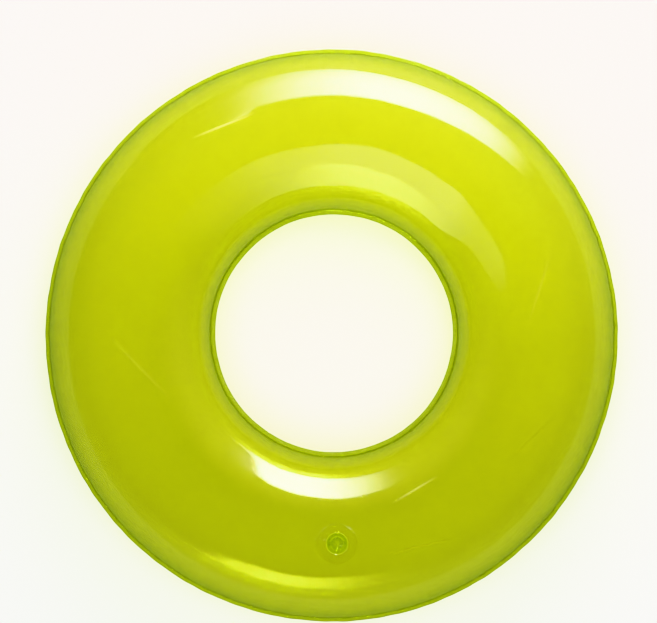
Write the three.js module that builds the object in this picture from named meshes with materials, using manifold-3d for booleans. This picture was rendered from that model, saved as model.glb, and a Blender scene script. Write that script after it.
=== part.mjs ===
// Inflatable swim ring, lying flat. Millimetres, +Z up.
// The origin is on the ground, under the middle of the hole; the air valve is on the crest, towards -Y.
import * as THREE from 'three';
import { mergeVertices } from 'three/addons/utils/BufferGeometryUtils.js';
import Module from 'manifold-3d';

const wasm = await Module();
wasm.setup();

// Driving dimensions of the blown-up ring.
const OUTER_RADIUS = 320;
const HOLE_RADIUS = 132.5;
const RING_HEIGHT = 160;
const OUTER_WELD_WIDTH = 4;
const INNER_WELD_WIDTH = 5;
const WELD_THICKNESS = 0.6;
const FILM = 0.3;
const GAP = 0.3; // clearance between neighbouring solids

// The tube's section: an ellipse whose crest leans outwards and is cut flat where it rests.
const CREST_LEAN = 3;
const FLAT_HALF_ANGLE = 5.5; // degrees of the section on each side of the crest that lie flat
const UPPER_STEPS = [FLAT_HALF_ANGLE, 12, 20, 30, 42, 56, 72, 90]; // degrees away from the crest
const LOWER_STEPS = [FLAT_HALF_ANGLE, 16, 30, 46, 66, 90];

const RING_SEGMENTS = 64;
const VALVE_SEGMENTS = 32;

// Driving dimensions of the valve; its heights count from the ring's crest.
const VALVE_HOLE_RADIUS = 13.6;
const FLANGE_RADIUS = 23;
const FLANGE_BORE_RADIUS = 12;
const FLANGE_THICKNESS = 0.8;
const SKIRT_THICKNESS = 0.5;
const STEM_RADIUS = 6.5;
const STEM_BORE_RADIUS = 5;
const STEM_TOP = -2.1;
const STEM_BOTTOM = -17;
const STEM_LIP_RADIUS = 6.9;
const STEM_LIP_HEIGHT = 1.2;
const PLUG_HEAD_RADIUS = 7.3;
const PLUG_HEAD_THICKNESS = 1.7;
const PLUG_SHANK_LENGTH = 6;
const PLUG_SHANK_TOP_RADIUS = 4.7;
const PLUG_SHANK_TIP_RADIUS = 3.2;
const PLUG_TAB_REACH = 10.3;
const PLUG_TAB_WIDTH = 5;
const PLUG_TAB_THICKNESS = 0.9;
const TETHER_WIDTH = 4;
const TETHER_THICKNESS = 0.7;
const TETHER_REACH = 8.9;
const FLAP_RADIUS = 6.2;
const FLAP_THICKNESS = 0.5;

// Worked out from the above.
const MID_HEIGHT = RING_HEIGHT / 2;
const OUTER_SEAM = OUTER_RADIUS - OUTER_WELD_WIDTH;
const INNER_SEAM = HOLE_RADIUS + INNER_WELD_WIDTH;
const TUBE_HALF_WIDTH = (OUTER_SEAM - INNER_SEAM) / 2;
const TUBE_RADIUS = (OUTER_SEAM + INNER_SEAM) / 2;
const CREST_RADIUS = TUBE_RADIUS + CREST_LEAN;
const SECTION_RISE = MID_HEIGHT / Math.cos(THREE.MathUtils.degToRad(FLAT_HALF_ANGLE));
const FLANGE_TOP = -FILM - GAP;
const PLUG_HEAD_BOTTOM = STEM_TOP + GAP;
const PLUG_HEAD_TOP = PLUG_HEAD_BOTTOM + PLUG_HEAD_THICKNESS;

const film = new THREE.MeshStandardMaterial({ color: '#c3d022', roughness: 0.15, metalness: 0 });
const weld = new THREE.MeshStandardMaterial({ color: '#a8ba2e', roughness: 0.3, metalness: 0 });
const softMoulding = new THREE.MeshStandardMaterial({ color: '#9fb22c', roughness: 0.3, metalness: 0 });

/** Joins the doubled vertices of a three.js geometry, so that it is one closed surface. */
function weldVertices(geometry) {
  geometry.deleteAttribute('normal');
  geometry.deleteAttribute('uv');
  return mergeVertices(geometry, 1e-4);
}

/** Turns a profile of [radius, height] corners about Z: from axis to axis, or closed on itself. */
function turned(profile, segments) {
  const points = profile.map(([radius, height]) => new THREE.Vector2(radius, height));
  return weldVertices(new THREE.LatheGeometry(points, segments).rotateX(Math.PI / 2));
}

function toSolid(geometry) {
  const closed = weldVertices(geometry.clone());
  return new wasm.Manifold(new wasm.Mesh({
    numProp: 3,
    vertProperties: closed.attributes.position.array,
    triVerts: new Uint32Array(closed.index.array),
  }));
}

function toGeometry(solid) {
  const { vertProperties, triVerts } = solid.getMesh();
  const geometry = new THREE.BufferGeometry();
  geometry.setAttribute('position', new THREE.BufferAttribute(new Float32Array(vertProperties), 3));
  geometry.setIndex(new THREE.BufferAttribute(new Uint32Array(triVerts), 1));
  return geometry;
}

function named(name, geometry, material) {
  const mesh = new THREE.Mesh(geometry, material);
  mesh.name = name;
  return mesh;
}

/** A point of the tube's upper section, by its angle from the outer side, pulled in by inset. */
function sectionPoint(degrees, inset) {
  const angle = THREE.MathUtils.degToRad(degrees);
  const across = TUBE_HALF_WIDTH * Math.cos(angle) + CREST_LEAN * Math.sin(angle) ** 2;
  const normal = new THREE.Vector2(Math.cos(angle) / TUBE_HALF_WIDTH, Math.sin(angle) / SECTION_RISE);
  normal.setLength(inset);
  return [TUBE_RADIUS + across - normal.x, SECTION_RISE * Math.sin(angle) - normal.y];
}

/** Half the tube as film: an outer and an inner wall, joined along both seams. Side is 1 above, -1 below. */
function sheetGeometry(steps, side) {
  const outerHalf = steps.map((step) => 90 - step).reverse();
  const innerHalf = steps.map((step) => 90 + step);
  const angles = [...outerHalf, ...innerHalf];
  const wall = (inset) => angles.map((degrees) => {
    const [radius, rise] = sectionPoint(degrees, inset);
    return [radius, MID_HEIGHT + side * Math.max(rise, GAP / 2)];
  });
  const loop = [...wall(0), ...wall(FILM).reverse()];
  if (side < 0) loop.reverse();
  return turned([...loop, loop[0]], RING_SEGMENTS);
}

function upperSheet() {
  const hole = new THREE.CylinderGeometry(
    VALVE_HOLE_RADIUS, VALVE_HOLE_RADIUS, RING_HEIGHT / 2, VALVE_SEGMENTS,
  );
  hole.rotateX(Math.PI / 2).translate(0, -CREST_RADIUS, RING_HEIGHT);
  const sheet = toSolid(sheetGeometry(UPPER_STEPS, 1)).subtract(toSolid(hole));
  return named('upper_sheet', toGeometry(sheet), film);
}

function weldRim(name, innerRadius, outerRadius) {
  const low = MID_HEIGHT - WELD_THICKNESS / 2;
  const high = MID_HEIGHT + WELD_THICKNESS / 2;
  const loop = [[innerRadius, low], [outerRadius, low], [outerRadius, high], [innerRadius, high]];
  return named(name, turned([...loop, loop[0]], RING_SEGMENTS), weld);
}

/** How far the upper sheet lies below its crest at a place given from the valve's axis. */
function sheetFall(x, y) {
  const across = Math.hypot(x, y - CREST_RADIUS) - TUBE_RADIUS;
  const root = Math.sqrt(TUBE_HALF_WIDTH ** 2 - 4 * CREST_LEAN * (across - CREST_LEAN));
  const cosine = (TUBE_HALF_WIDTH - root) / (2 * CREST_LEAN);
  return Math.min(0, SECTION_RISE * Math.sqrt(1 - cosine ** 2) - MID_HEIGHT);
}

/** Bends a valve piece down with the sheet above it; share(radius) is how much of the fall it takes. */
function drape(geometry, share) {
  const position = geometry.attributes.position;
  for (let index = 0; index < position.count; index += 1) {
    const x = position.getX(index);
    const y = position.getY(index);
    const fall = sheetFall(x, y) * share(Math.hypot(x, y));
    position.setZ(index, position.getZ(index) + fall);
  }
  return geometry;
}

function valveFlange() {
  const low = FLANGE_TOP - FLANGE_THICKNESS;
  const middle = (FLANGE_BORE_RADIUS + FLANGE_RADIUS) / 2;
  const loop = [
    [FLANGE_BORE_RADIUS, low],
    [middle, low],
    [FLANGE_RADIUS, low],
    [FLANGE_RADIUS, FLANGE_TOP],
    [middle, FLANGE_TOP],
    [FLANGE_BORE_RADIUS, FLANGE_TOP],
  ];
  const geometry = drape(turned([...loop, loop[0]], VALVE_SEGMENTS), () => 1);
  return named('valve_flange', geometry, softMoulding);
}

/** A wall of even thickness on both sides of a line of [radius, height] points, as a closed loop. */
function wallLoop(line, thickness) {
  const offset = (side) => line.map(([radius, height], index) => {
    const before = line[Math.max(index - 1, 0)];
    const after = line[Math.min(index + 1, line.length - 1)];
    const across = new THREE.Vector2(after[1] - before[1], before[0] - after[0]);
    across.setLength(side * thickness / 2);
    return [radius + across.x, height + across.y];
  });
  const loop = [...offset(1), ...offset(-1).reverse()];
  return [...loop, loop[0]];
}

/** The folding funnel: it hangs from the flange and carries the stem near the stem's lower end. */
function valveSkirt() {
  const rim = FLANGE_BORE_RADIUS - GAP - SKIRT_THICKNESS / 2;
  const waist = STEM_RADIUS + GAP;
  const line = [
    [rim, FLANGE_TOP],
    [rim - 0.4, FLANGE_TOP - 1.2],
    [rim - 1.2, -4.5],
    [rim - 2.5, -10],
    [rim - 3.5, -14.2],
    [waist + 0.5, -15.2],
    [waist, -15.3],
  ];
  const share = (radius) => THREE.MathUtils.clamp((radius - waist) / (rim - waist), 0, 1);
  const funnel = turned(wallLoop(line, SKIRT_THICKNESS), VALVE_SEGMENTS);
  return named('valve_skirt', drape(funnel, share), softMoulding);
}

function valveStem() {
  const loop = [
    [STEM_BORE_RADIUS, STEM_BOTTOM],
    [STEM_RADIUS, STEM_BOTTOM],
    [STEM_RADIUS, STEM_TOP - STEM_LIP_HEIGHT - 0.4],
    [STEM_LIP_RADIUS, STEM_TOP - STEM_LIP_HEIGHT],
    [STEM_LIP_RADIUS, STEM_TOP - 0.3],
    [STEM_LIP_RADIUS - 0.3, STEM_TOP],
    [STEM_BORE_RADIUS, STEM_TOP],
  ];
  return named('valve_stem', turned([...loop, loop[0]], VALVE_SEGMENTS), softMoulding);
}

function valvePlug() {
  const tip = PLUG_HEAD_BOTTOM - PLUG_SHANK_LENGTH;
  const body = toSolid(turned([
    [0, tip],
    [PLUG_SHANK_TIP_RADIUS, tip],
    [PLUG_SHANK_TOP_RADIUS, PLUG_HEAD_BOTTOM],
    [PLUG_HEAD_RADIUS, PLUG_HEAD_BOTTOM],
    [PLUG_HEAD_RADIUS, PLUG_HEAD_TOP - 0.4],
    [PLUG_HEAD_RADIUS - 0.6, PLUG_HEAD_TOP],
    [0, PLUG_HEAD_TOP],
  ], VALVE_SEGMENTS));
  const length = PLUG_TAB_REACH - STEM_BORE_RADIUS;
  const tab = new THREE.BoxGeometry(length, PLUG_TAB_WIDTH, PLUG_TAB_THICKNESS);
  tab.translate(PLUG_TAB_REACH - length / 2, 0, PLUG_HEAD_BOTTOM + PLUG_HEAD_THICKNESS / 2);
  return named('valve_plug', toGeometry(body.add(toSolid(tab))), softMoulding);
}

/** The strap: a small loop that leaves the stem's side, passes the lip and reaches the plug's head. */
function valveTether() {
  const root = STEM_LIP_RADIUS + GAP;
  const head = PLUG_HEAD_RADIUS + GAP;
  const high = PLUG_HEAD_BOTTOM + PLUG_HEAD_THICKNESS / 2 + TETHER_THICKNESS / 2;
  const low = STEM_TOP - STEM_LIP_HEIGHT;
  const outline = new THREE.Shape([
    new THREE.Vector2(-root, low),
    new THREE.Vector2(-TETHER_REACH, low),
    new THREE.Vector2(-TETHER_REACH - TETHER_THICKNESS, low + TETHER_THICKNESS),
    new THREE.Vector2(-TETHER_REACH - TETHER_THICKNESS, high - TETHER_THICKNESS / 2),
    new THREE.Vector2(-TETHER_REACH, high),
    new THREE.Vector2(-head, high),
    new THREE.Vector2(-head, high - TETHER_THICKNESS),
    new THREE.Vector2(-TETHER_REACH, high - TETHER_THICKNESS),
    new THREE.Vector2(-TETHER_REACH, low + TETHER_THICKNESS),
    new THREE.Vector2(-root, low + TETHER_THICKNESS),
  ]);
  const strap = new THREE.ExtrudeGeometry(outline, { depth: TETHER_WIDTH, bevelEnabled: false });
  strap.rotateX(Math.PI / 2).translate(0, TETHER_WIDTH / 2, 0);
  return named('valve_tether', weldVertices(strap), softMoulding);
}

function checkFlap() {
  const top = STEM_BOTTOM - GAP;
  const low = top - FLAP_THICKNESS;
  const disc = turned([[0, low], [FLAP_RADIUS, low], [FLAP_RADIUS, top], [0, top]], VALVE_SEGMENTS);
  return named('valve_check_flap', disc, softMoulding);
}

const valve = new THREE.Group();
valve.position.set(0, -CREST_RADIUS, RING_HEIGHT);
valve.add(valveFlange(), valveSkirt(), valveStem(), valveTether(), valvePlug(), checkFlap());

const ring = new THREE.Group();
ring.add(upperSheet());
ring.add(named('lower_sheet', sheetGeometry(LOWER_STEPS, -1), film));
ring.add(weldRim('outer_weld_rim', OUTER_SEAM + GAP, OUTER_RADIUS));
ring.add(weldRim('inner_weld_rim', HOLE_RADIUS, INNER_SEAM - GAP));
ring.add(valve);

export default ring;
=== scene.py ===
import math

import bpy
import numpy as np
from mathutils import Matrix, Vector

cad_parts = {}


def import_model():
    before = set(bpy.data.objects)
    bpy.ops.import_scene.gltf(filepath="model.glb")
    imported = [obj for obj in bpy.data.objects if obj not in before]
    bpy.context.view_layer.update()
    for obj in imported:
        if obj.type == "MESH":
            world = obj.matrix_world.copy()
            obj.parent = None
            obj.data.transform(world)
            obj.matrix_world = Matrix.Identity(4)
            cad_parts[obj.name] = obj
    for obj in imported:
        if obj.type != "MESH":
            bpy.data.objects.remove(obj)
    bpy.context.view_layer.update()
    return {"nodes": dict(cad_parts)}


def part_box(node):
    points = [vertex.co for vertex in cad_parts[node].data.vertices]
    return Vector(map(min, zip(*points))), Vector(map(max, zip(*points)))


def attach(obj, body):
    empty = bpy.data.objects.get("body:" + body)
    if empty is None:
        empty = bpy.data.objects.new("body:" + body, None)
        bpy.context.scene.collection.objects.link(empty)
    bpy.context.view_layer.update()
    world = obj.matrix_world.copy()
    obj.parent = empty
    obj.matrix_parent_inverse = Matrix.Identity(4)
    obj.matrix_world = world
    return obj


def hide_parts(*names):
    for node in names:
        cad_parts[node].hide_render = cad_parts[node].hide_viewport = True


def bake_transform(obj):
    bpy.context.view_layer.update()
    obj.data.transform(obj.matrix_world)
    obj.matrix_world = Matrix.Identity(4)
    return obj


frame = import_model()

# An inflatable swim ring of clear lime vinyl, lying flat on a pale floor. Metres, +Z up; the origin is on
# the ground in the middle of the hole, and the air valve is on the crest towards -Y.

MM = 0.001

# ---------------------------------------------------------------- the ring's size, read from the frame


def plan_radii(node):
    """The smallest and largest distance of a node's vertices from the ring's axis."""
    radii = [math.hypot(v.co.x, v.co.y) for v in frame["nodes"][node].data.vertices]
    return min(radii), max(radii)


HOLE_EDGE, _ = plan_radii("inner_weld_rim")
SEAM_IN, SEAM_OUT = plan_radii("upper_sheet")
_, RIM_EDGE = plan_radii("outer_weld_rim")
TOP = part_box("upper_sheet")[1].z
MID = TOP / 2
VALVE = (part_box("valve_stem")[0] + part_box("valve_stem")[1]) / 2
VALVE.z = TOP
CREST = math.hypot(VALVE.x, VALVE.y)
HALF_WIDTH = (SEAM_OUT - SEAM_IN) / 2
TUBE = (SEAM_OUT + SEAM_IN) / 2
LEAN = CREST - TUBE
FLATTENED = 0.35 * MM  # how much of the lower crest the ground takes away
SECTION_GIRTH = math.pi * (HALF_WIDTH + MID) / 2
HOLE_SHIFT = np.array([2.8, 2.4]) * MM  # the hole of a real ring isn't quite in its middle

# ---------------------------------------------------------------- how finely things are meshed

AROUND = 720
ACROSS = 96
WINDOW_COLUMNS = 18  # half the width of the finer patch round the valve, in columns and rows of the film
WINDOW_ROWS = 13
PATCH_LOOPS = 34
VALVE_STEPS = 96

FILM = 0.3 * MM
SEAM_SLOT = 0.40 * MM  # half the height of the weld between the two films

# ---------------------------------------------------------------- small unevenness of the film


def ripple(angle, waves, seed):
    """A smooth closed wave round the ring: waves is a list of (count round the ring, height)."""
    rng = np.random.default_rng(seed)
    total = np.zeros_like(angle)
    for count, height in waves:
        total += height * np.sin(count * angle + rng.uniform(0, 2 * math.pi))
    return total


def undulation(angle, section, seed):
    """Broad shallow waves over a film, in metres."""
    rng = np.random.default_rng(seed)
    total = np.zeros_like(angle)
    for _ in range(9):
        round_count = rng.integers(2, 13)
        across_count = rng.uniform(0.5, 3.0)
        height = rng.uniform(0.05, 0.16) * MM
        total += height * np.sin(round_count * angle + across_count * section + rng.uniform(0, 2 * math.pi))
    return total


def seam_pull(angle, inner):
    """How far a seam is pulled sideways, in metres: more at the outer seam, which is pressed together."""
    if inner:
        return ripple(angle, [(7, 0.25 * MM), (19, 0.10 * MM), (47, 0.06 * MM)], 11)
    return ripple(angle, [(5, 0.30 * MM), (23, 0.20 * MM), (61, 0.22 * MM), (97, 0.16 * MM)], 12)


def seam_lift(angle, inner):
    """How far a seam waves up and down, in metres."""
    if inner:
        return ripple(angle, [(4, 0.35 * MM), (13, 0.20 * MM), (37, 0.10 * MM)], 21)
    return ripple(angle, [(3, 0.45 * MM), (17, 0.30 * MM), (53, 0.20 * MM)], 22)


def puckers(angle, from_seam, seam_radius, count, depth, width, length, seed):
    """Short creases that run from a seam into the film; each is a valley between two low shoulders."""
    rng = np.random.default_rng(seed)
    total = np.zeros_like(angle)
    starts = np.linspace(0, 2 * math.pi, count, endpoint=False)
    starts += rng.uniform(-0.4, 0.4, count) * 2 * math.pi / count
    for start in starts:
        own_depth = depth * rng.uniform(0.15, 1.0)
        own_width = width * rng.uniform(0.6, 1.4)
        own_length = length * rng.uniform(0.5, 1.5)
        away = (angle - start + math.pi) % (2 * math.pi) - math.pi
        spread = (seam_radius * away / (own_width * (1 + 0.8 * from_seam / own_length))) ** 2
        fade = np.exp(-((from_seam / own_length) ** 2)) * (1 - np.exp(-from_seam / (1.5 * MM)))
        total -= own_depth * fade * (1 - 1.2 * spread) * np.exp(-spread)
    return total


FOLD_FULL = 1.9 * MM  # height of the sharpest fold
CREASE_WIDTH = 1.5 * MM  # the painted highlight line along a fold's crest, with its colour and the haze added to it
CREASE_HIGHLIGHT_COLOUR = (0.93, 0.92, 0.42, 1)
CREASE_HIGHLIGHT_HAZE = 0.20

# Folds left from the packet: (angle, place) of both ends, in degrees and in shares of the tube's width
# counted from the hole, then height and half width.
UPPER_FOLDS = [
    (124, 0.73, 107, 0.69, 1.9 * MM, 4.2 * MM),
    (-72, 0.335, -54, 0.32, 1.7 * MM, 4.2 * MM),
    (200, 0.30, 178, 0.62, 0.5 * MM, 4.5 * MM),
    (20, 0.70, 2, 0.45, 0.5 * MM, 4.5 * MM),
]
LOWER_FOLDS = [
    (-78, 0.66, -60, 0.73, 1.7 * MM, 4.2 * MM),
    (96, 0.30, 120, 0.36, 0.7 * MM, 4.5 * MM),
    (-20, 0.75, -38, 0.60, 0.7 * MM, 4.5 * MM),
]


def fold_end(angle, share):
    """Where a fold ends, seen from above."""
    radius = SEAM_IN + share * (SEAM_OUT - SEAM_IN)
    return radius * np.array([math.cos(math.radians(angle)), math.sin(math.radians(angle))])


def folds(x, y, ridges):
    """Low straight ridges in the film, by place seen from above."""
    total = np.zeros_like(x)
    for angle_a, share_a, angle_b, share_b, height, width in ridges:
        start = fold_end(angle_a, share_a)
        line = fold_end(angle_b, share_b) - start
        length = np.linalg.norm(line)
        along = ((x - start[0]) * line[0] + (y - start[1]) * line[1]) / length**2
        aside = ((x - start[0]) * line[1] - (y - start[1]) * line[0]) / length
        fade = np.clip(along * (1 - along) * 4, 0, 1) ** 1.5
        total += height * fade * np.exp(-((aside / width) ** 2))
    return total


def smooth_step(value, low, high):
    """Rises smoothly from 0 at low to 1 at high; low may be the larger one."""
    t = np.clip((value - low) / (high - low), 0, 1)
    return t * t * (3 - 2 * t)


# ---------------------------------------------------------------- the blown-up section


def section_angle(radius):
    """The section's angle, from the outer seam, at which the upper film has this distance from the axis."""
    across = radius - TUBE
    root = np.sqrt(HALF_WIDTH**2 - 4 * LEAN * (across - LEAN))
    return np.arccos(np.clip((HALF_WIDTH - root) / (2 * LEAN), -1, 1))


def valve_relief(distance):
    """The film round the valve: a welded groove over the flange and a soft hollow round it."""
    inside = smooth_step(distance, 0.0460, 0.0200)
    groove = np.exp(-(((distance - 20.2 * MM) / (1.1 * MM)) ** 2))
    ridge = np.exp(-(((distance - 23.6 * MM) / (1.0 * MM)) ** 2))
    lip = np.exp(-(((distance - 13.6 * MM) / (1.2 * MM)) ** 2))
    return (-0.5 * inside - 0.35 * groove + 0.30 * ridge + 0.25 * lip) * MM


def film_points(angle, section, upper):
    """Places on a film's outer face. section runs from 0 at the outer seam to pi at the inner one."""
    side = 1 if upper else -1
    sine, cosine = np.sin(section), np.cos(section)
    rise = MID if upper else MID + FLATTENED
    radius = TUBE + HALF_WIDTH * cosine + LEAN * sine**2
    height = rise * sine
    normal_out = cosine / HALF_WIDTH
    normal_up = sine / rise
    size = np.hypot(normal_out, normal_up)
    normal_out, normal_up = normal_out / size, normal_up / size

    from_outer = SECTION_GIRTH * section / math.pi
    from_inner = SECTION_GIRTH - from_outer
    x, y = radius * np.cos(angle), radius * np.sin(angle)
    from_valve = np.hypot(x - VALVE.x, y - VALVE.y) if upper else np.full_like(x, 1.0)
    free = smooth_step(from_valve, 0.026, 0.065) * sine

    push = undulation(angle, section, 31 if upper else 32) * free
    push += seam_pull(angle, False) * np.exp(-from_outer / (9 * MM))
    push -= seam_pull(angle, True) * np.exp(-from_inner / (9 * MM))
    push += puckers(angle, from_outer, SEAM_OUT, 84, 0.55 * MM, 4.2 * MM, 17 * MM, 41 if upper else 42)
    push += puckers(angle, from_inner, SEAM_IN, 56, 0.22 * MM, 2.6 * MM, 11 * MM, 43 if upper else 44)
    push += folds(x, y, UPPER_FOLDS if upper else LOWER_FOLDS)
    if upper:
        push += valve_relief(from_valve)

    lift = seam_lift(angle, False) * np.exp(-from_outer / (12 * MM))
    lift += seam_lift(angle, True) * np.exp(-from_inner / (12 * MM))
    radius = radius + push * normal_out
    slot = SEAM_SLOT * np.exp(-np.minimum(from_outer, from_inner) / (2 * MM))
    height = MID + side * (height + push * normal_up + slot) + lift
    height = np.clip(height, 0, TOP + 0.6 * MM)
    share = smooth_step(from_outer / SECTION_GIRTH, 0.5, 1.0)
    place_x = radius * np.cos(angle) + HOLE_SHIFT[0] * share
    place_y = radius * np.sin(angle) + HOLE_SHIFT[1] * share
    return np.stack([place_x, place_y, height], axis=-1)


# ---------------------------------------------------------------- mesh making


def make_object(name, points, faces, material):
    mesh = bpy.data.meshes.new(name)
    mesh.from_pydata([tuple(p) for p in points], [], [tuple(int(i) for i in f) for f in faces])
    mesh.validate()
    mesh.polygons.foreach_set("use_smooth", [True] * len(mesh.polygons))
    mesh.materials.append(material)
    piece = bpy.data.objects.new(name, mesh)
    bpy.context.scene.collection.objects.link(piece)
    return piece


def vertex_normals(points, faces):
    """Normals of a mesh of quads, weighted by area."""
    a, b, c, d = (points[faces[:, k]] for k in range(4))
    face_normals = np.cross(c - a, d - b)
    normals = np.zeros_like(points)
    for k in range(4):
        np.add.at(normals, faces[:, k], face_normals)
    return normals / np.linalg.norm(normals, axis=1, keepdims=True)


def thicken(points, faces, thickness):
    """Makes a closed wall from a surface of quads: its second face lies inside, and its edges are joined."""
    inner = points - vertex_normals(points, faces) * thickness
    count = len(points)
    edges = np.concatenate([faces[:, [k, (k + 1) % 4]] for k in range(4)])
    keys = np.sort(edges, axis=1)
    _, first, times = np.unique(keys, axis=0, return_index=True, return_counts=True)
    border = edges[first[times == 1]]
    sides = np.stack([border[:, 1], border[:, 0], border[:, 0] + count, border[:, 1] + count], axis=1)
    all_faces = np.concatenate([faces, faces[:, ::-1] + count, sides])
    return np.concatenate([points, inner]), all_faces


def grid_faces(rows, columns):
    """Quads of a grid that closes round its columns."""
    row, column = np.meshgrid(np.arange(rows - 1), np.arange(columns), indexing="ij")
    after = (column + 1) % columns
    here, below = row * columns, (row + 1) * columns
    quads = np.stack([here + column, here + after, below + after, below + column], axis=-1)
    return quads.reshape(-1, 4)


def compact(points, faces):
    """Drops the points that no face uses."""
    used, renumbered = np.unique(faces, return_inverse=True)
    return points[used], renumbered.reshape(faces.shape)


def section_steps():
    """Section angles that lie closer together near the seams, where the puckers are."""
    even = np.linspace(0, 1, ACROSS + 1)
    return math.pi * (even - 0.07 * np.sin(2 * math.pi * even))


def film_surface(upper):
    """A film's outer face as points and quads."""
    angles = -math.pi / 2 + 2 * math.pi * np.arange(AROUND) / AROUND
    section, angle = np.meshgrid(section_steps(), angles, indexing="ij")
    points = film_points(angle.ravel(), section.ravel(), upper)
    faces = grid_faces(ACROSS + 1, AROUND)
    if upper:
        return points, faces
    return points, faces[:, ::-1]


def window_border():
    """Grid indices round the square that the valve's patch fills, in order."""
    middle = ACROSS // 2
    low, high = middle - WINDOW_ROWS, middle + WINDOW_ROWS
    left, right = -WINDOW_COLUMNS, WINDOW_COLUMNS
    around = [(low, c) for c in range(left, right)]
    around += [(r, right) for r in range(low, high)]
    around += [(high, c) for c in range(right, left, -1)]
    around += [(r, left) for r in range(high, low, -1)]
    return [r * AROUND + c % AROUND for r, c in around]


def with_valve_hole(points, faces, hole_radius):
    """Replaces a square of the upper film by a finer patch with a round hole for the valve."""
    row = faces // AROUND
    column = faces % AROUND
    column = np.where(column > AROUND / 2, column - AROUND, column)
    middle = ACROSS // 2
    in_rows = (np.abs(row - middle) <= WINDOW_ROWS).all(axis=1)
    in_columns = (np.abs(column) <= WINDOW_COLUMNS).all(axis=1)
    faces = faces[~(in_rows & in_columns)]

    border = window_border()
    offsets = points[border][:, :2] - np.array([VALVE.x, VALVE.y])
    circle = offsets / np.linalg.norm(offsets, axis=1, keepdims=True) * hole_radius
    loops, rings = [np.array(border)], []
    next_index = len(points)
    for loop in range(1, PATCH_LOOPS + 1):
        share = loop / PATCH_LOOPS
        plan = offsets * (1 - share) + circle * share + np.array([VALVE.x, VALVE.y])
        angle = np.arctan2(plan[:, 1], plan[:, 0])
        section = section_angle(np.hypot(plan[:, 0], plan[:, 1]))
        rings.append(film_points(angle, section, True))
        loops.append(next_index + np.arange(len(border)))
        next_index += len(border)
    quads = []
    for outer, inner in zip(loops, loops[1:]):
        quads.append(np.stack([outer, np.roll(outer, -1), np.roll(inner, -1), inner], axis=1))
    return compact(np.concatenate([points, *rings]), np.concatenate([faces, *quads]))


def film(name, node, upper, material):
    points, faces = film_surface(upper)
    if upper:
        points, faces = with_valve_hole(points, faces, VALVE_HOLE)
    points, faces = thicken(points, faces, FILM)
    points[:, 2] = np.maximum(points[:, 2], 0)
    return as_piece(make_object(name, points, faces, material), "ring", "film", node)


def as_piece(piece, body, slot, *nodes):
    """Hides the CAD nodes that a piece stands for and hangs the piece on its body; the slot is not used."""
    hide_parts(*nodes)
    if body:
        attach(piece, body)
    return piece


def swept_ring(loops):
    """A closed body from rings of points that each close round, the last ring joining the first."""
    rows, columns = len(loops), len(loops[0])
    points = np.concatenate(loops)
    row, column = np.meshgrid(np.arange(rows), np.arange(columns), indexing="ij")
    after = (column + 1) % columns
    here, below = row * columns, (row + 1) % rows * columns
    faces = np.stack([here + column, here + after, below + after, below + column], axis=-1)
    return points, faces.reshape(-1, 4)


def weld_rim(name, node, inner, material):
    """The flat band where the films are welded: a rounded strip that waves with its seam."""
    angle = 2 * math.pi * np.arange(AROUND) / AROUND
    seam = SEAM_IN if inner else SEAM_OUT
    edge = HOLE_EDGE if inner else RIM_EDGE
    out = np.sign(edge - seam)
    width = abs(edge - seam)
    pull = seam_pull(angle, inner)
    lift = seam_lift(angle, inner)
    droop = ripple(angle, [(11, 0.25 * MM), (29, 0.18 * MM), (71, 0.12 * MM)], 51 if inner else 52)
    half = 0.34 * MM
    outline = [(-0.3 * MM, -half), (0.35 * width, -0.9 * half), (0.8 * width, -half)]
    for turn in np.linspace(0.2, math.pi - 0.2, 7):
        outline.append((width - half * (1 - math.sin(turn)), -half * math.cos(turn)))
    outline += [(0.8 * width, half), (0.35 * width, 0.9 * half), (-0.3 * MM, half)]
    shift_x, shift_y = HOLE_SHIFT if inner else (0, 0)
    loops = []
    for across, up in outline:
        share = max(across, 0) / width
        radius = seam + out * across + pull * (1 - 0.4 * share)
        height = MID + up + lift + droop * share**2
        x, y = radius * np.cos(angle) + shift_x, radius * np.sin(angle) + shift_y
        loops.append(np.stack([x, y, height], axis=1))
    if not inner:
        loops.reverse()
    points, faces = swept_ring(loops)
    return as_piece(make_object(name, points, faces, material), "ring", "weld", node)


# ---------------------------------------------------------------- the valve

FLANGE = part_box("valve_flange")
FLANGE_RADIUS = FLANGE[1].x
FLANGE_BORE = 12 * MM
VALVE_HOLE = 12.4 * MM
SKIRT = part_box("valve_skirt")
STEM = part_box("valve_stem")
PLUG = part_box("valve_plug")
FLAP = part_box("valve_check_flap")
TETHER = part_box("valve_tether")


def turned(profile, steps=VALVE_STEPS):
    """Turns a profile of (radius, height below the crest) round the valve's axis; it may close on itself."""
    angle = 2 * math.pi * np.arange(steps) / steps
    loops = []
    for radius, height in profile:
        ring = np.stack([radius * np.cos(angle), radius * np.sin(angle), np.full(steps, height)], axis=1)
        loops.append(ring + np.array([VALVE.x, VALVE.y, TOP]))
    return loops


def film_fall(points):
    """How far the upper film lies below its crest at places given in the row frame."""
    radius = np.hypot(points[:, 0], points[:, 1])
    return MID * np.sin(section_angle(radius)) - MID


def draped(loops, share):
    """Bends rings of the valve down with the film; share(distance from the valve's axis) is from 0 to 1."""
    bent = []
    for loop in loops:
        distance = np.hypot(loop[:, 0] - VALVE.x, loop[:, 1] - VALVE.y)
        moved = loop.copy()
        moved[:, 2] += film_fall(loop) * share(distance)
        bent.append(moved)
    return bent


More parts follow.
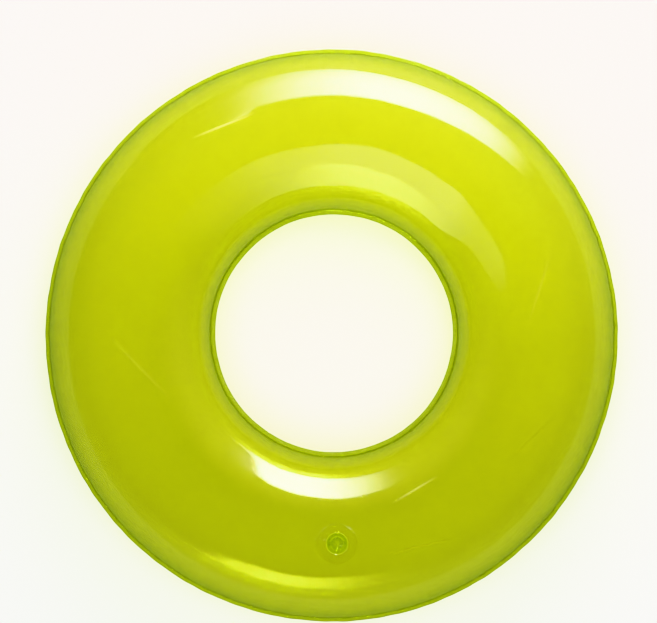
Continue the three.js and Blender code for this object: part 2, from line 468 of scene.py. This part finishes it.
def rounded(corners, radius, steps=4):
    """A closed outline of (radius, height) corners with each corner rounded."""
    result = []
    count = len(corners)
    for index, corner in enumerate(corners):
        here = np.array(corner, float)
        before = np.array(corners[index - 1], float) - here
        after = np.array(corners[(index + 1) % count], float) - here
        cut = min(radius, 0.45 * np.linalg.norm(before), 0.45 * np.linalg.norm(after))
        start = here + before / np.linalg.norm(before) * cut
        end = here + after / np.linalg.norm(after) * cut
        for t in np.linspace(0, 1, steps):
            result.append(tuple((1 - t) ** 2 * start + 2 * t * (1 - t) * here + t**2 * end))
    return result


def valve_flange(material):
    top, low = -0.62 * MM - 0.5 * MM, -1.9 * MM
    outline = [
        (FLANGE_BORE, low), (FLANGE_RADIUS, low), (FLANGE_RADIUS, top - 0.2 * MM), (21.4 * MM, top),
        (20.9 * MM, top - 0.35 * MM), (19.6 * MM, top - 0.35 * MM), (19.1 * MM, top), (FLANGE_BORE, top),
    ]
    loops = draped(turned(rounded(outline, 0.25 * MM)), lambda distance: np.ones_like(distance))
    points, faces = swept_ring(loops)
    piece = make_object("valve_flange_disc", points, faces, material)
    return as_piece(piece, "ring", "soft_moulding", "valve_flange")


def wall(line, thickness):
    """A closed outline of even thickness on both sides of a line of (radius, height) points."""
    line = np.array(line)
    direction = np.gradient(line, axis=0)
    direction /= np.linalg.norm(direction, axis=1, keepdims=True)
    across = np.stack([direction[:, 1], -direction[:, 0]], axis=1) * thickness / 2
    return [tuple(p) for p in np.concatenate([line + across, (line - across)[::-1]])]


def smooth_line(points, steps):
    """A smooth curve through points, as a Catmull-Rom spline."""
    points = np.array(points, float)
    padded = np.concatenate([[2 * points[0] - points[1]], points, [2 * points[-1] - points[-2]]])
    result = []
    for a, b, c, d in zip(padded, padded[1:], padded[2:], padded[3:]):
        for t in np.linspace(0, 1, steps, endpoint=False):
            result.append(0.5 * (2 * b + (c - a) * t + (2 * a - 5 * b + 4 * c - d) * t**2
                                 + (3 * b - a - 3 * c + d) * t**3))
    result.append(points[-1])
    return np.array(result)


def valve_skirt(material):
    rim = FLANGE_BORE - 0.5 * MM
    waist = 6.75 * MM
    line = smooth_line([
        (rim, -1.1 * MM),
        (rim - 0.5 * MM, -2.2 * MM),
        (rim - 1.2 * MM, -4.8 * MM),
        (rim - 2.3 * MM, -10 * MM),
        (rim - 3.3 * MM, -14.2 * MM),
        (waist + 0.6 * MM, -15.2 * MM),
        (waist, -15.3 * MM),
    ], 5)
    loops = turned(wall(line, 0.5 * MM))

    def share(distance):
        """All of the film's fall at the flange and none of it at the stem."""
        return np.clip((distance - waist) / (rim - waist), 0, 1)

    points, faces = swept_ring(draped(loops, share))
    piece = make_object("valve_skirt_funnel", points, faces, material)
    as_piece(piece, None, "soft_moulding", "valve_skirt")
    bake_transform(piece)
    return piece


def valve_stem(material):
    top, low = STEM[1].z - TOP, STEM[0].z - TOP
    outline = [
        (5.0 * MM, low), (6.5 * MM, low), (6.5 * MM, low + 1.1 * MM), (6.3 * MM, low + 1.4 * MM),
        (6.3 * MM, top - 1.8 * MM), (6.9 * MM, top - 1.2 * MM), (6.9 * MM, top), (5.0 * MM, top),
    ]
    points, faces = swept_ring(turned(rounded(outline, 0.35 * MM)))
    piece = make_object("valve_stem_tube", points, faces, material)
    return as_piece(piece, "stem", "soft_moulding", "valve_stem")


def head_outline(radius, steps=VALVE_STEPS):
    """The plug's head from above: a disc with a rounded pull tab towards +X."""
    angle = 2 * math.pi * np.arange(steps) / steps
    reach = PLUG[1].x - 0.4 * MM
    tab_half = 2.4 * MM
    centre = reach - tab_half
    aside = np.clip(tab_half**2 - (centre * np.sin(angle)) ** 2, 0, None)
    tab = np.where(aside > 0, centre * np.cos(angle) + np.sqrt(aside), 0)
    blend_power = 14
    disc = 7.2 * MM
    outline = (disc**blend_power + np.clip(tab, 0, None) ** blend_power) ** (1 / blend_power)
    inset = disc - radius
    outline = outline - inset
    return np.stack([outline * np.cos(angle), outline * np.sin(angle)], axis=1)


def capped(loops):
    """A closed body from rings of points, with both ends closed by a fan."""
    points = np.concatenate([*loops, loops[0].mean(axis=0)[None], loops[-1].mean(axis=0)[None]])
    rows, columns = len(loops), len(loops[0])
    faces = [tuple(f) for f in grid_faces(rows, columns)]
    first, last = rows * columns, rows * columns + 1
    for column in range(columns):
        after = (column + 1) % columns
        faces.append((first, after, column))
        faces.append((last, (rows - 1) * columns + column, (rows - 1) * columns + after))
    return points, faces


def valve_plug(material):
    bottom = PLUG[0].z - TOP
    under = STEM[1].z - TOP + 0.3 * MM
    top = PLUG[1].z - TOP
    shank = [
        (1.2 * MM, bottom), (2.8 * MM, bottom), (3.15 * MM, bottom + 0.3 * MM),
        (3.3 * MM, bottom + 0.7 * MM), (4.0 * MM, under - 3.0 * MM), (4.55 * MM, under - 0.8 * MM),
        (4.7 * MM, under - 0.3 * MM),
    ]
    loops = turned(shank)
    angle = 2 * math.pi * np.arange(VALVE_STEPS) / VALVE_STEPS
    circle = np.stack([np.cos(angle), np.sin(angle)], axis=1)
    dished = 5.5 * MM  # inside this radius the head is round; outside it the pull tab sticks out
    head = [
        (5.4 * MM, under), (6.8 * MM, under), (7.1 * MM, under + 0.2 * MM), (7.2 * MM, under + 0.6 * MM),
        (7.2 * MM, top - 0.5 * MM), (7.05 * MM, top - 0.2 * MM), (6.7 * MM, top - 0.05 * MM),
        (6.3 * MM, top), (5.8 * MM, top - 0.08 * MM), (5.2 * MM, top - 0.45 * MM),
        (3.6 * MM, top - 0.6 * MM), (1.6 * MM, top - 0.62 * MM),
    ]
    for radius, height in head:
        plan = radius * circle if radius < dished else head_outline(radius)
        ring = np.concatenate([plan, np.full((VALVE_STEPS, 1), height)], axis=1)
        loops.append(ring + np.array([VALVE.x, VALVE.y, TOP]))
    points, faces = capped(loops)
    piece = make_object("valve_plug_stopper", points, faces, material)
    return as_piece(piece, "plug", "soft_moulding", "valve_plug")


def strap(path, width, thickness):
    """A flat strap along a path in the XZ plane, with rounded edges, centred on the valve's Y."""
    path = np.array(path)
    direction = np.gradient(path, axis=0)
    direction /= np.linalg.norm(direction, axis=1, keepdims=True)
    across = np.stack([direction[:, 1], -direction[:, 0]], axis=1)
    turn = np.linspace(0, 2 * math.pi, 20, endpoint=False)
    flat = np.sign(np.cos(turn)) * np.abs(np.cos(turn)) ** 0.4 * width / 2
    deep = np.sign(np.sin(turn)) * np.abs(np.sin(turn)) ** 0.6 * thickness / 2
    loops = []
    for centre, side in zip(path, across):
        plan = centre[None] + deep[:, None] * side[None]
        loops.append(np.stack([plan[:, 0] + VALVE.x, flat + VALVE.y, plan[:, 1] + TOP], axis=1))
    return loops


def valve_tether(material):
    low, high = TETHER[0].z - TOP + 0.35 * MM, TETHER[1].z - TOP - 0.35 * MM
    far = TETHER[0].x + 0.35 * MM
    root = -7.0 * MM
    path = smooth_line([
        (root, low), (root - 0.9 * MM, low), (far + 0.3 * MM, low + 0.3 * MM), (far, (low + high) / 2),
        (far + 0.3 * MM, high - 0.3 * MM), (root - 1.2 * MM, high), (root - 0.5 * MM, high),
    ], 5)
    points, faces = capped(strap(path, 4.0 * MM, 0.7 * MM))
    piece = make_object("valve_tether_strap", points, faces, material)
    as_piece(piece, None, "soft_moulding", "valve_tether")
    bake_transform(piece)
    return piece


def check_flap(material):
    low, top = FLAP[0].z - TOP, FLAP[1].z - TOP
    radius = FLAP[1].x
    profile = [
        (1.5 * MM, low + 0.08 * MM), (4.0 * MM, low + 0.05 * MM), (radius - 0.6 * MM, low),
        (radius - 0.15 * MM, low + 0.08 * MM), (radius, (low + top) / 2),
        (radius - 0.15 * MM, top - 0.08 * MM), (radius - 0.5 * MM, top),
        (4.0 * MM, top), (1.5 * MM, top - 0.05 * MM),
    ]
    points, faces = capped(turned(profile))
    piece = make_object("valve_flap_disc", points, faces, material)
    return as_piece(piece, "check_flap", "soft_moulding", "valve_check_flap")


# ---------------------------------------------------------------- materials


class Nodes:
    """Short ways to build a node tree."""

    def __init__(self, material):
        material.use_nodes = True
        self.tree = material.node_tree
        self.tree.nodes.clear()

    def add(self, kind, inputs=None, **settings):
        node = self.tree.nodes.new(kind)
        for key, value in settings.items():
            setattr(node, key, value)
        for key, value in (inputs or {}).items():
            socket = node.inputs[key]
            if isinstance(value, bpy.types.NodeSocket):
                self.tree.links.new(value, socket)
            else:
                socket.default_value = value
        return node

    def maths(self, operation, first, second=0.0, third=0.0):
        node = self.tree.nodes.new("ShaderNodeMath")
        node.operation = operation
        for index, value in enumerate((first, second, third)):
            if isinstance(value, bpy.types.NodeSocket):
                self.tree.links.new(value, node.inputs[index])
            else:
                node.inputs[index].default_value = value
        return node.outputs[0]

    def noise(self, scale, detail=3.0, roughness=0.5, distortion=0.0):
        place = self.add("ShaderNodeTexCoord").outputs["Object"]
        inputs = {"Vector": place, "Scale": scale, "Detail": detail}
        inputs.update({"Roughness": roughness, "Distortion": distortion})
        return self.add("ShaderNodeTexNoise", inputs).outputs["Fac"]

    def spread(self, value, low, high, start=0.3, end=0.7):
        node = self.add(
            "ShaderNodeMapRange",
            {"Value": value, "From Min": start, "From Max": end, "To Min": low, "To Max": high},
        )
        return node.outputs["Result"]

    def mix(self, share, first, second):
        return self.add("ShaderNodeMixShader", {0: share, 1: first, 2: second}).outputs[0]

    def finish(self, shader):
        self.add("ShaderNodeOutputMaterial", {"Surface": shader})


def facing(nodes):
    """0 where a surface is seen square on and 1 where it is seen edge on."""
    return nodes.add("ShaderNodeLayerWeight", {"Blend": 0.5}).outputs["Facing"]


def creases(nodes, ridges):
    """1 along the sharp crest of every fold, where a highlight line is painted, and 0 away from it."""
    place = nodes.add("ShaderNodeTexCoord").outputs["Object"]
    total = 0.0
    for angle_a, share_a, angle_b, share_b, height, _ in ridges:
        start = fold_end(angle_a, share_a)
        line = fold_end(angle_b, share_b) - start
        length = np.linalg.norm(line)
        from_start = nodes.add(
            "ShaderNodeVectorMath", {0: place, 1: (*start, 0)}, operation="SUBTRACT"
        ).outputs["Vector"]
        along, aside = (
            nodes.add(
                "ShaderNodeVectorMath", {0: from_start, 1: (*direction, 0)}, operation="DOT_PRODUCT"
            ).outputs["Value"]
            for direction in (line / length**2, np.array([line[1], -line[0]]) / length)
        )
        to_end = nodes.maths("SUBTRACT", 1.0, along)
        inside = nodes.maths("MULTIPLY", nodes.maths("MULTIPLY", along, to_end), 4.0)
        thin = nodes.maths("POWER", math.e, nodes.maths(
            "MULTIPLY", nodes.maths("POWER", nodes.maths("DIVIDE", aside, CREASE_WIDTH), 2.0), -1.0
        ))
        crease_highlight = nodes.maths("MULTIPLY", nodes.maths("MAXIMUM", inside, 0.0), thin)
        total = nodes.maths("MULTIPLY_ADD", crease_highlight, height / FOLD_FULL, total)
    return total


# Clear vinyl seen edge on: how much longer the light's way through it gets, how far its haze turns to the
# deeper colour (shares of red, green and blue), and how much more it mirrors.
EDGE_LENGTH = 2.2
EDGE_DEPTH = 1.25
EDGE_COLOUR = (0.58, 0.92, 0.3)
EDGE_MIRROR = 0.05


def clear_vinyl(name, through, body, haze, shine, mirror, bump_height, bump, ridges=()):
    """Clear coloured vinyl: light passes unbent and tinted, a little is scattered, and its skin mirrors."""
    material = bpy.data.materials.new(name)
    nodes = Nodes(material)
    edge = facing(nodes)
    bumped = nodes.add(
        "ShaderNodeBump", {"Strength": 1.0, "Distance": bump_height, "Height": bump(nodes)}
    ).outputs[0]
    longer = nodes.maths("MULTIPLY_ADD", nodes.maths("POWER", edge, 2.0), EDGE_LENGTH, 1.0)
    tint = nodes.add("ShaderNodeGamma", {"Color": (*through, 1), "Gamma": longer}).outputs[0]
    clear = nodes.add("ShaderNodeBsdfTransparent", {"Color": tint}).outputs[0]
    cloud = nodes.noise(7, 4)
    shade = nodes.add(
        "ShaderNodeMix",
        {0: nodes.spread(cloud, 0, 1), 6: (*body, 1), 7: (*[c * 0.88 for c in body], 1)},
        data_type="RGBA",
    ).outputs[2]
    deep = nodes.maths("MULTIPLY", nodes.maths("POWER", edge, 2.0), EDGE_DEPTH)
    deep_colour = (*(b * share for b, share in zip(body, EDGE_COLOUR)), 1)
    shade = nodes.add(
        "ShaderNodeMix", {0: deep, 6: shade, 7: deep_colour}, data_type="RGBA"
    ).outputs[2]
    # Painted highlight: a pale colour along the crest of every fold, standing in for light caught by the
    # fold.
    if ridges:
        crease_highlight = creases(nodes, ridges)
        shade = nodes.add(
            "ShaderNodeMix", {0: crease_highlight, 6: shade, 7: CREASE_HIGHLIGHT_COLOUR}, data_type="RGBA"
        ).outputs[2]
    scattered = nodes.mix(
        0.5,
        nodes.add("ShaderNodeBsdfDiffuse", {"Color": shade}).outputs[0],
        nodes.add("ShaderNodeBsdfTranslucent", {"Color": shade}).outputs[0],
    )
    haze_and_crease_highlight = nodes.maths(
        "MULTIPLY_ADD", nodes.maths("POWER", edge, 2.0), haze, nodes.spread(cloud, haze * 0.8, haze * 1.2)
    )
    # The fold crests also get more haze, which brightens the painted highlight.
    if ridges:
        haze_and_crease_highlight = nodes.maths("MULTIPLY_ADD", crease_highlight, CREASE_HIGHLIGHT_HAZE, haze_and_crease_highlight)
    film_body = nodes.mix(haze_and_crease_highlight, clear, scattered)
    smear = nodes.spread(nodes.noise(11, 5, 0.6, 0.6), shine * 0.7, shine * 1.5)
    skin = nodes.add(
        "ShaderNodeBsdfGlossy", {"Color": (1, 1, 1, 1), "Roughness": smear, "Normal": bumped}
    ).outputs[0]
    mirrored = nodes.maths("MULTIPLY_ADD", nodes.maths("POWER", edge, 5.0), EDGE_MIRROR, mirror)
    nodes.finish(nodes.mix(mirrored, film_body, skin))
    return material


def film_material(name, through, mirror, ridges):
    return clear_vinyl(
        name, through, body=(0.74, 0.66, 0.08), haze=0.075, shine=0.055, mirror=mirror,
        bump_height=0.03 * MM, bump=lambda nodes: nodes.noise(260, 3, 0.6), ridges=ridges,
    )


def weld_bump(nodes):
    """A fine crossed pattern pressed into the weld."""
    place = nodes.add("ShaderNodeTexCoord").outputs["Object"]
    bands = []
    for turn in (math.radians(45), math.radians(-45)):
        turned_place = nodes.add(
            "ShaderNodeMapping", {"Vector": place, "Rotation": (0, 0, turn)}
        ).outputs[0]
        wave = nodes.add(
            "ShaderNodeTexWave", {"Vector": turned_place, "Scale": 250.0, "Distortion": 0.0}
        )
        bands.append(wave.outputs["Fac"])
    return nodes.maths("MAXIMUM", bands[0], bands[1])


def weld_material():
    return clear_vinyl(
        "lime_weld", (0.54, 0.60, 0.14), body=(0.42, 0.52, 0.05), haze=0.14, shine=0.16, mirror=0.02,
        bump_height=0.12 * MM, bump=weld_bump,
    )


def moulding_material(name, through, haze):
    return clear_vinyl(
        name, through, body=(0.50, 0.60, 0.06), haze=haze, shine=0.10, mirror=0.02,
        bump_height=0.03 * MM, bump=lambda nodes: nodes.noise(900, 3, 0.6),
    )


def floor_material():
    material = bpy.data.materials.new("pale_floor")
    nodes = Nodes(material)
    cloud = nodes.spread(nodes.noise(1.5, 4), 0.90, 0.94)
    colour = nodes.add("ShaderNodeCombineColor", {"Red": cloud, "Green": cloud, "Blue": cloud}).outputs[0]
    matte = nodes.add(
        "ShaderNodeBsdfPrincipled", {"Base Color": colour, "Roughness": 0.75, "Specular IOR Level": 0.2}
    ).outputs[0]
    nodes.finish(matte)
    return material


# ---------------------------------------------------------------- studio

# The even light of the room and the overhead lamp that lights the floor.
ROOM_LIGHT = 0.45
ROOM_REFLECTED = 0.16
ROOM_SEEN = 1.6
SUN_STRENGTH = 3.6
SUN_ANGLE = math.radians(50)

# The key light, an upright cloth beyond the ring. Its brightest part is at SOFTBOX_CENTRE, and its glow
# reaches so far to the left and right of that; at its foot it keeps a share of its glow.
SOFTBOX_DISTANCE = 1.37
SOFTBOX_LEFT, SOFTBOX_RIGHT = -1.4, 1.9
SOFTBOX_CENTRE = 0.40
SOFTBOX_REACH = (0.44, 0.60)
SOFTBOX_TOP = 1.26
SOFTBOX_TOP_FADE = 0.16
SOFTBOX_FOOT_FADE = 0.50
SOFTBOX_FOOT_SHARE = 0.45
SOFTBOX_RADIANCE = 190.0

# Two cards bent over the crest: a dim glowing one on the near side and a black one on the far side.
CARD_RADIUS = CREST - 14 * MM
ARCH_TURNS = (196, 352)
ARCH_FOOT = 0.62
ARCH_RADIANCE = 5.5
FLAG_TURNS = (68, 20)
FLAG_FOOT, FLAG_TOP = 0.42, 1.2

CAMERA_DISTANCE = 7.0
PICTURE_WIDTH = 0.7343
CAMERA_ROLL = math.radians(-1.5)
CAMERA_SHIFT = (-3.4 * MM, 26.8 * MM)


def floor():
    size = 40.0
    below = 0.4 * MM
    points = [(-size, -size, 0), (size, -size, 0), (size, size, 0), (-size, size, 0)]
    plane = make_object("studio_floor", np.array(points), [(0, 1, 2, 3)], floor_material())
    plane.location.z = -below


def softbox_material():
    """A glowing cloth, brightest right of the middle; it fades to both sides and at its foot and top."""
    material = bpy.data.materials.new("softbox_cloth")
    nodes = Nodes(material)
    place = nodes.add("ShaderNodeTexCoord").outputs["Object"]
    axes = nodes.add("ShaderNodeSeparateXYZ", {"Vector": place})
    off = nodes.maths("SUBTRACT", axes.outputs["X"], SOFTBOX_CENTRE)
    away = [
        nodes.maths("MAXIMUM", nodes.maths("DIVIDE", off, reach), 0.0)
        for reach in (-SOFTBOX_REACH[0], SOFTBOX_REACH[1])
    ]
    squared = nodes.maths("POWER", nodes.maths("ADD", *away), 2.0)
    across = nodes.maths("POWER", math.e, nodes.maths("MULTIPLY", squared, -1.0))
    steps = {"interpolation_type": "SMOOTHSTEP"}
    low = nodes.add(
        "ShaderNodeMapRange",
        {
            "Value": axes.outputs["Z"], "From Min": 0.0, "From Max": SOFTBOX_FOOT_FADE,
            "To Min": SOFTBOX_FOOT_SHARE, "To Max": 1.0,
        },
        **steps,
    ).outputs["Result"]
    high = nodes.add(
        "ShaderNodeMapRange",
        {"Value": axes.outputs["Z"], "From Min": SOFTBOX_TOP, "From Max": SOFTBOX_TOP - SOFTBOX_TOP_FADE},
        **steps,
    ).outputs["Result"]
    glow = nodes.maths("MULTIPLY", across, nodes.maths("MULTIPLY", low, high))
    strength = nodes.maths("MULTIPLY", glow, SOFTBOX_RADIANCE)
    cloth = nodes.add("ShaderNodeEmission", {"Color": (1.0, 0.97, 1.0, 1), "Strength": strength})
    nodes.finish(cloth.outputs[0])
    return material


def unseen(card):
    """Keeps a card for reflections only."""
    card.visible_camera = False
    card.visible_diffuse = False
    card.visible_transmission = False
    card.visible_shadow = False


def softbox():
    """The key light: an upright glowing cloth behind the top of the ring."""
    low, high = 0.02, SOFTBOX_TOP
    left, right = SOFTBOX_LEFT, SOFTBOX_RIGHT
    points = [(left, 0, low), (right, 0, low), (right, 0, high), (left, 0, high)]
    card = make_object("studio_softbox", np.array(points), [(0, 1, 2, 3)], softbox_material())
    card.location = (0, SOFTBOX_DISTANCE, 0)
    unseen(card)


def curved_card(name, radius, turns, low, high, material):
    """An upright card bent round the ring's axis, between two heights given for every turn."""
    lower = [(radius * math.cos(t), radius * math.sin(t), z) for t, z in zip(turns, low)]
    upper = [(radius * math.cos(t), radius * math.sin(t), z) for t, z in zip(turns, high)]
    count = len(turns)
    faces = [(i, i + 1, count + i + 1, count + i) for i in range(count - 1)]
    unseen(make_object(name, np.array(lower + upper), faces, material))


def arch_light():
    """A dim glowing band over the near half of the crest, which shows only in the far inner slope."""
    material = bpy.data.materials.new("arch_cloth")
    nodes = Nodes(material)
    place = nodes.add("ShaderNodeTexCoord").outputs["Object"]
    across = nodes.add("ShaderNodeSeparateXYZ", {"Vector": place}).outputs["X"]
    fade = nodes.add(
        "ShaderNodeMapRange",
        {
            "Value": across,
            "From Min": 0.85 * CREST, "From Max": -0.15 * CREST, "To Min": 0.04, "To Max": ARCH_RADIANCE,
        },
        interpolation_type="SMOOTHSTEP",
    ).outputs["Result"]
    far_end = nodes.add(
        "ShaderNodeMapRange",
        {"Value": across, "From Min": -CREST, "From Max": -0.60 * CREST, "To Min": 0.08, "To Max": 1.0},
        interpolation_type="SMOOTHSTEP",
    ).outputs["Result"]
    strength = nodes.maths("MULTIPLY", fade, far_end)
    glow = nodes.add("ShaderNodeEmission", {"Color": (1, 1, 1, 1), "Strength": strength}).outputs[0]
    behind = nodes.add("ShaderNodeNewGeometry").outputs["Backfacing"]
    nodes.finish(nodes.mix(behind, nodes.add("ShaderNodeBsdfTransparent").outputs[0], glow))
    turns = np.radians(np.linspace(*ARCH_TURNS, 40))
    near = smooth_step(-np.sin(turns), 0.10, 0.75)
    low, high = ARCH_FOOT - 0.42 * near, ARCH_FOOT + 0.75 * near
    curved_card("studio_arch", CARD_RADIUS, turns, low, high, material)


def flag():
    """A black card over the far crest: it ends the near highlight on its left."""
    material = bpy.data.materials.new("black_flag")
    nodes = Nodes(material)
    cloth = nodes.spread(nodes.noise(40), 0.015, 0.03)
    colour = nodes.add("ShaderNodeCombineColor", {"Red": cloth, "Green": cloth, "Blue": cloth}).outputs[0]
    nodes.finish(nodes.add("ShaderNodeBsdfDiffuse", {"Color": colour}).outputs[0])
    turns = np.radians(np.linspace(*FLAG_TURNS, 30))
    low = FLAG_FOOT - 0.255 * smooth_step(-turns, math.radians(-68), math.radians(-56))
    curved_card("studio_flag", CARD_RADIUS, turns, low, np.full_like(turns, FLAG_TOP), material)


def lamp_object(name, light, place, target):
    """A lamp which lights the floor and the haze in the film, but shows in no reflection."""
    lamp = bpy.data.objects.new(name, light)
    bpy.context.scene.collection.objects.link(lamp)
    lamp.location = place
    aim = Vector(target) - Vector(place)
    lamp.rotation_euler = aim.to_track_quat("-Z", "Y").to_euler()
    lamp.visible_camera = False
    lamp.visible_glossy = False


def sun():
    light = bpy.data.lights.new("overhead", "SUN")
    light.energy = SUN_STRENGTH
    light.angle = SUN_ANGLE
    light.color = (0.98, 1.0, 1.0)
    lamp_object("overhead", light, (0, -0.5, 3.0), (0, 0, 0))


def key_spill():
    """Warm light that spills from the key light over the far side of the ring."""
    light = bpy.data.lights.new("key_spill", "AREA")
    light.shape = "RECTANGLE"
    light.size, light.size_y = 0.8, 0.3
    light.energy = 6.6
    light.color = (1.0, 0.86, 0.78)
    lamp_object("key_spill", light, (0.07, 0.36, 0.48), (0.03, 0.18, 0))


def world():
    """An even room that lights the floor, shows weakly in reflections and looks plain white itself."""
    sky = bpy.data.worlds.new("studio")
    bpy.context.scene.world = sky
    nodes = Nodes(sky)
    ray = nodes.add("ShaderNodeLightPath").outputs
    white = (1, 1, 1, 1)
    shown, lighting, plain = (
        nodes.add("ShaderNodeBackground", {"Color": colour, "Strength": strength}).outputs[0]
        for colour, strength in ((white, ROOM_REFLECTED), ((0.98, 1, 1, 1), ROOM_LIGHT), (white, ROOM_SEEN))
    )
    room = nodes.mix(ray["Is Diffuse Ray"], shown, lighting)
    nodes.add("ShaderNodeOutputWorld", {"Surface": nodes.mix(ray["Is Camera Ray"], room, plain)})


def camera():
    """Looks straight down the hole's axis, with the ring a little below the middle of the picture."""
    data = bpy.data.cameras.new("camera")
    data.sensor_width = 36
    data.lens = data.sensor_width * CAMERA_DISTANCE / PICTURE_WIDTH
    eye = bpy.data.objects.new("camera", data)
    bpy.context.scene.collection.objects.link(eye)
    across, up = CAMERA_SHIFT
    cosine, sine = math.cos(CAMERA_ROLL), math.sin(CAMERA_ROLL)
    eye.location = (across * cosine - up * sine, across * sine + up * cosine, MID + CAMERA_DISTANCE)
    eye.rotation_euler = (0, 0, CAMERA_ROLL)
    bpy.context.scene.camera = eye


def studio():
    world()
    floor()
    softbox()
    flag()
    arch_light()
    sun()
    key_spill()
    camera()
    scene = bpy.context.scene
    scene.view_settings.view_transform = "Khronos PBR Neutral"
    scene.cycles.transparent_max_bounces = 40
    scene.cycles.max_bounces = 12


# ---------------------------------------------------------------- build

upper_look = film_material("lime_film_upper", (0.838, 0.864, 0.50), 0.016, UPPER_FOLDS)
lower_look = film_material("lime_film_lower", (0.838, 0.864, 0.54), 0.0058, LOWER_FOLDS)
weld_look = weld_material()
moulding_look = moulding_material("lime_soft_moulding", (0.90, 0.93, 0.50), 0.10)
flange_look = moulding_material("lime_thin_moulding", (0.985, 0.987, 0.90), 0.02)

upper_film = film("upper_film", "upper_sheet", True, upper_look)
lower_film = film("lower_film", "lower_sheet", False, lower_look)
weld_rim("outer_weld", "outer_weld_rim", False, weld_look)
weld_rim("inner_weld", "inner_weld_rim", True, weld_look)
valve_flange(flange_look)
valve_skirt(moulding_look)
valve_stem(moulding_look)
valve_plug(moulding_look)
valve_tether(moulding_look)
check_flap(moulding_look)
studio()
